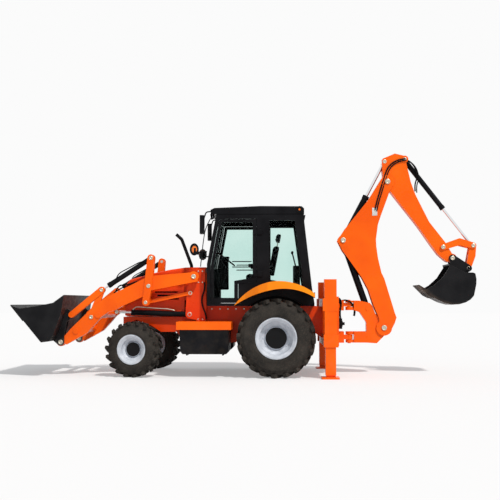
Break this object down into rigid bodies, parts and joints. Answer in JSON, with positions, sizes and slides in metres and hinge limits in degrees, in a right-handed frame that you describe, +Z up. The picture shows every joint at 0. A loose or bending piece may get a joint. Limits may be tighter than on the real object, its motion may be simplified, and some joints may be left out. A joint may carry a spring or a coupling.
{
  "type": "backhoe loader",
  "caption": "Wheeled backhoe loader with a self-levelling front loader, glazed cab, slide-down stabilizers and a side-shift rear digging arm.",
  "frame": {"origin": "middle of the bounding box on the ground", "axes": "+X rearwards along the machine, +Y to its right, +Z up"},
  "size_m": [8, 2.474, 3.91],
  "materials": {
    "orange_paint": "gloss orange paint",
    "fender_paint": "gloss amber orange paint",
    "black_paint": "satin black paint",
    "cast_black": "black painted castings",
    "tyre_rubber": "matt tyre rubber",
    "rim_paint": "silver grey paint",
    "chrome_rod": "hard chrome",
    "pin_steel": "plated pin steel",
    "tinted_glass": "green tinted glass",
    "seat_cloth": "dark woven cloth",
    "cab_plastic": "dark grained plastic",
    "bucket_steel": "black paint worn to steel at the edges"
  },
  "bodies": {
    "chassis": {"chassis_frame": "orange_paint", "engine_block": "cast_black", "front_axle": "cast_black", "rear_axle": "cast_black", "exhaust_stack": "black_paint", "cab_frame": "black_paint", "cab_roof": "black_paint", "cab_glass": "tinted_glass", "seat": "seat_cloth", "cab_interior": "cab_plastic", "rear_fenders": "fender_paint", "steps": "orange_paint", "side_boxes": "black_paint", "mirrors_lamps": "black_paint", "rear_frame": "orange_paint"},
    "hood": {"hood": "orange_paint"},
    "door_left": {"door_left": "black_paint", "door_glass_left": "tinted_glass"},
    "door_right": {"door_right": "black_paint", "door_glass_right": "tinted_glass"},
    "knuckle_left": {"knuckle_left": "cast_black"},
    "knuckle_right": {"knuckle_right": "cast_black"},
    "wheel_front_left": {"rim_front_left": "rim_paint", "tyre_front_left": "tyre_rubber"},
    "wheel_front_right": {"rim_front_right": "rim_paint", "tyre_front_right": "tyre_rubber"},
    "wheel_rear_left": {"rim_rear_left": "rim_paint", "tyre_rear_left": "tyre_rubber"},
    "wheel_rear_right": {"rim_rear_right": "rim_paint", "tyre_rear_right": "tyre_rubber"},
    "loader_arms": {"loader_arms": "orange_paint"},
    "posts": {"posts": "orange_paint"},
    "level_links": {"level_links": "orange_paint"},
    "lift_barrels": {"lift_barrels": "black_paint"},
    "lift_rods": {"lift_rods": "chrome_rod"},
    "dump_pins": {"dump_pins": "pin_steel"},
    "dump_barrels": {"dump_barrels": "black_paint"},
    "dump_rods": {"dump_rods": "chrome_rod"},
    "lever_pins": {"lever_pins": "pin_steel"},
    "levers": {"levers": "orange_paint"},
    "link_pins": {"link_pins": "pin_steel"},
    "tilt_links": {"tilt_links": "orange_paint"},
    "bucket_pins": {"bucket_pins": "pin_steel"},
    "loader_bucket": {"loader_bucket": "bucket_steel"},
    "stabilizer_left": {"stabilizer_left": "orange_paint"},
    "stabilizer_right": {"stabilizer_right": "orange_paint"},
    "carriage": {"carriage": "orange_paint", "swing_cylinders": "black_paint"},
    "kingpost": {"kingpost": "orange_paint"},
    "boom": {"boom": "orange_paint"},
    "boom_barrel": {"boom_barrel": "black_paint"},
    "boom_rod": {"boom_rod": "chrome_rod"},
    "dipper": {"dipper": "orange_paint"},
    "dipper_barrel": {"dipper_barrel": "black_paint"},
    "dipper_rod": {"dipper_rod": "chrome_rod"},
    "idler_links": {"idler_links": "orange_paint"},
    "tipping_link": {"tipping_link": "orange_paint"},
    "bucket_barrel": {"bucket_barrel": "black_paint"},
    "bucket_rod": {"bucket_rod": "chrome_rod"},
    "hoe_bucket": {"hoe_bucket": "bucket_steel"}
  },
  "joints": [
    {"name": "hood_hinge", "type": "hinge", "parent": "chassis", "child": "hood", "pos_m": [-1.137, 0, 1.862], "axis": [0, 1, 0], "range_deg": [0, 60]},
    {"name": "door_left_hinge", "type": "hinge", "parent": "chassis", "child": "door_left", "pos_m": [0.145, -0.752, 1.9], "axis": [0, 0, 1], "range_deg": [0, 85]},
    {"name": "door_right_hinge", "type": "hinge", "parent": "chassis", "child": "door_right", "pos_m": [0.145, 0.752, 1.9], "axis": [0, 0, -1], "range_deg": [0, 85]},
    {"name": "steering", "type": "hinge", "parent": "chassis", "child": "knuckle_left", "pos_m": [-1.884, -0.64, 0.466], "axis": [0, 0, 1], "range_deg": [-20.5, 43.5]},
    {"name": "steering_right", "type": "hinge", "parent": "chassis", "child": "knuckle_right", "pos_m": [-1.884, 0.64, 0.466], "axis": [0, 0, 1], "range_deg": [-20.6, 43.6]},
    {"name": "spin_front_left", "type": "hinge", "parent": "knuckle_left", "child": "wheel_front_left", "pos_m": [-1.93384, -0.88498, 0.466], "axis": [0.1994, 0.9799, 0], "continuous": true},
    {"name": "spin_front_right", "type": "hinge", "parent": "knuckle_right", "child": "wheel_front_right", "pos_m": [-1.83416, 0.88498, 0.466], "axis": [0.1994, 0.9799, 0], "continuous": true},
    {"name": "spin_rear_left", "type": "hinge", "parent": "chassis", "child": "wheel_rear_left", "pos_m": [0.463, -0.925, 0.658], "axis": [0, 1, 0], "continuous": true},
    {"name": "spin_rear_right", "type": "hinge", "parent": "chassis", "child": "wheel_rear_right", "pos_m": [0.463, 0.925, 0.658], "axis": [0, 1, 0], "continuous": true},
    {"name": "lift", "type": "hinge", "parent": "chassis", "child": "loader_arms", "pos_m": [-0.949, 0, 1.695], "axis": [0, 1, 0], "range_deg": [-10, 70]},
    {"name": "post_turn", "type": "hinge", "parent": "loader_arms", "child": "posts", "pos_m": [-1.724, 0, 1.532], "axis": [0, 1, 0], "range_deg": [-70.03, 10.01]},
    {"name": "level_turn", "type": "hinge", "parent": "chassis", "child": "level_links", "pos_m": [-1.019, 0, 1.414], "axis": [0, 1, 0], "range_deg": [-10.01, 70.03]},
    {"name": "lift_barrel_turn", "type": "hinge", "parent": "chassis", "child": "lift_barrels", "pos_m": [-1.032, 0, 1.045], "axis": [0, 1, 0], "range_deg": [-8.62, 60.31]},
    {"name": "lift_rod_slide", "type": "slide", "parent": "lift_barrels", "child": "lift_rods", "axis": [-0.9994, 0, 0.0339], "range_m": [-0.10475, 0.73317]},
    {"name": "dump_pin_turn", "type": "hinge", "parent": "posts", "child": "dump_pins", "pos_m": [-1.685, 0, 2.015], "axis": [0, 1, 0], "range_deg": [-11.21, 78.44]},
    {"name": "tilt_lever_pin", "type": "hinge", "parent": "loader_arms", "child": "lever_pins", "pos_m": [-2.71, 0, 1.001], "axis": [0, 1, 0], "range_deg": [-70.03, 10.01]},
    {"name": "bucket_level", "type": "hinge", "parent": "loader_arms", "child": "bucket_pins", "pos_m": [-3.227, 0, 0.576], "axis": [0, 1, 0], "range_deg": [-70.03, 10.01]},
    {"name": "tilt", "type": "hinge", "parent": "bucket_pins", "child": "loader_bucket", "pos_m": [-3.227, 0, 0.576], "axis": [0, 1, 0], "range_deg": [-95, 3]},
    {"name": "dump_barrel_turn", "type": "hinge", "parent": "dump_pins", "child": "dump_barrels", "pos_m": [-1.685, 0, 2.015], "axis": [0, 1, 0], "range_deg": [-0.15, 4.75]},
    {"name": "dump_rod_slide", "type": "slide", "parent": "dump_barrels", "child": "dump_rods", "axis": [-0.8406, 0, -0.5417], "range_m": [-0.02306, 0.72992]},
    {"name": "lever_turn", "type": "hinge", "parent": "lever_pins", "child": "levers", "pos_m": [-2.71, 0, 1.001], "axis": [0, 1, 0], "range_deg": [-95.05, 3]},
    {"name": "link_pin_turn", "type": "hinge", "parent": "levers", "child": "link_pins", "pos_m": [-2.537, 0, 1.466], "axis": [0, 1, 0], "range_deg": [-3, 95.05]},
    {"name": "tilt_link_turn", "type": "hinge", "parent": "link_pins", "child": "tilt_links", "pos_m": [-2.537, 0, 1.466], "axis": [0, 1, 0], "range_deg": [-10.01, 70.03]},
    {"name": "stabilizer_left_slide", "type": "slide", "parent": "chassis", "child": "stabilizer_left", "axis": [0, 0, 1], "range_m": [0, 0.45]},
    {"name": "stabilizer_right_slide", "type": "slide", "parent": "chassis", "child": "stabilizer_right", "axis": [0, 0, 1], "range_m": [0, 0.45]},
    {"name": "side_shift", "type": "slide", "parent": "chassis", "child": "carriage", "axis": [0, 1, 0], "range_m": [-0.55, 0.55]},
    {"name": "swing", "type": "hinge", "parent": "carriage", "child": "kingpost", "pos_m": [1.753, 0, 0.9], "axis": [0, 0, 1], "range_deg": [-90, 90]},
    {"name": "boom_hinge", "type": "hinge", "parent": "kingpost", "child": "boom", "pos_m": [2.363, 0, 0.805], "axis": [0, 1, 0], "range_deg": [-5, 95]},
    {"name": "boom_barrel_turn", "type": "hinge", "parent": "kingpost", "child": "boom_barrel", "pos_m": [2.075, 0, 1.139], "axis": [0, 1, 0], "range_deg": [-5.54, 105.24]},
    {"name": "boom_rod_slide", "type": "slide", "parent": "boom_barrel", "child": "boom_rod", "axis": [-0.3276, 0, 0.9448], "range_m": [-0.03029, 0.57531]},
    {"name": "dipper_hinge", "type": "hinge", "parent": "boom", "child": "dipper", "pos_m": [2.449, 0, 3.402], "axis": [0, 1, 0], "range_deg": [-80, 8]},
    {"name": "dipper_barrel_turn", "type": "hinge", "parent": "boom", "child": "dipper_barrel", "pos_m": [1.653, 0, 2.356], "axis": [0, 1, 0], "range_deg": [-8.27, 0.83]},
    {"name": "dipper_rod_slide", "type": "slide", "parent": "dipper_barrel", "child": "dipper_rod", "axis": [0.4696, 0, 0.8829], "range_m": [-0.43349, 0.04336]},
    {"name": "hoe_bucket_hinge", "type": "hinge", "parent": "dipper", "child": "hoe_bucket", "pos_m": [3.576, 0, 2.034], "axis": [0, 1, 0], "range_deg": [-94, 30]},
    {"name": "idler_turn", "type": "hinge", "parent": "dipper", "child": "idler_links", "pos_m": [3.415, 0, 2.23], "axis": [0, 1, 0], "range_deg": [-64.23, 20.5]},
    {"name": "tipping_turn", "type": "hinge", "parent": "idler_links", "child": "tipping_link", "pos_m": [3.946, 0, 2.256], "axis": [0, 1, 0], "range_deg": [-10.51, 32.92]},
    {"name": "bucket_barrel_turn", "type": "hinge", "parent": "dipper", "child": "bucket_barrel", "pos_m": [2.762, 0, 3.809], "axis": [0, 1, 0], "range_deg": [-3.76, 1.2]},
    {"name": "bucket_rod_slide", "type": "slide", "parent": "bucket_barrel", "child": "bucket_rod", "axis": [0.6063, 0, -0.7952], "range_m": [-0.54989, 0.1755]}
  ],
  "couplings": [
    {"joint": "steering_right", "follows": "steering", "ratio": 1},
    {"joint": "post_turn", "follows": "lift", "ratio": -1},
    {"joint": "level_turn", "follows": "lift", "ratio": 1},
    {"joint": "lift_barrel_turn", "follows": "lift", "ratio": 0.8611},
    {"joint": "lift_rod_slide", "follows": "lift", "m_per_rad": 0.5998},
    {"joint": "dump_pin_turn", "follows": "lift", "ratio": 1.12},
    {"joint": "tilt_lever_pin", "follows": "lift", "ratio": -1},
    {"joint": "bucket_level", "follows": "lift", "ratio": -1},
    {"joint": "dump_barrel_turn", "follows": "tilt", "ratio": -0.05},
    {"joint": "dump_rod_slide", "follows": "tilt", "m_per_rad": -0.44},
    {"joint": "lever_turn", "follows": "tilt", "ratio": 1},
    {"joint": "link_pin_turn", "follows": "tilt", "ratio": -1},
    {"joint": "tilt_link_turn", "follows": "lift", "ratio": 1},
    {"joint": "boom_barrel_turn", "follows": "boom_hinge", "ratio": 1.1072},
    {"joint": "boom_rod_slide", "follows": "boom_hinge", "m_per_rad": 0.3468},
    {"joint": "dipper_barrel_turn", "follows": "dipper_hinge", "ratio": 0.1033},
    {"joint": "dipper_rod_slide", "follows": "dipper_hinge", "m_per_rad": 0.3103},
    {"joint": "idler_turn", "follows": "hoe_bucket_hinge", "ratio": 0.683},
    {"joint": "tipping_turn", "follows": "hoe_bucket_hinge", "ratio": -0.35},
    {"joint": "bucket_barrel_turn", "follows": "hoe_bucket_hinge", "ratio": 0.04},
    {"joint": "bucket_rod_slide", "follows": "hoe_bucket_hinge", "m_per_rad": 0.335}
  ]
}
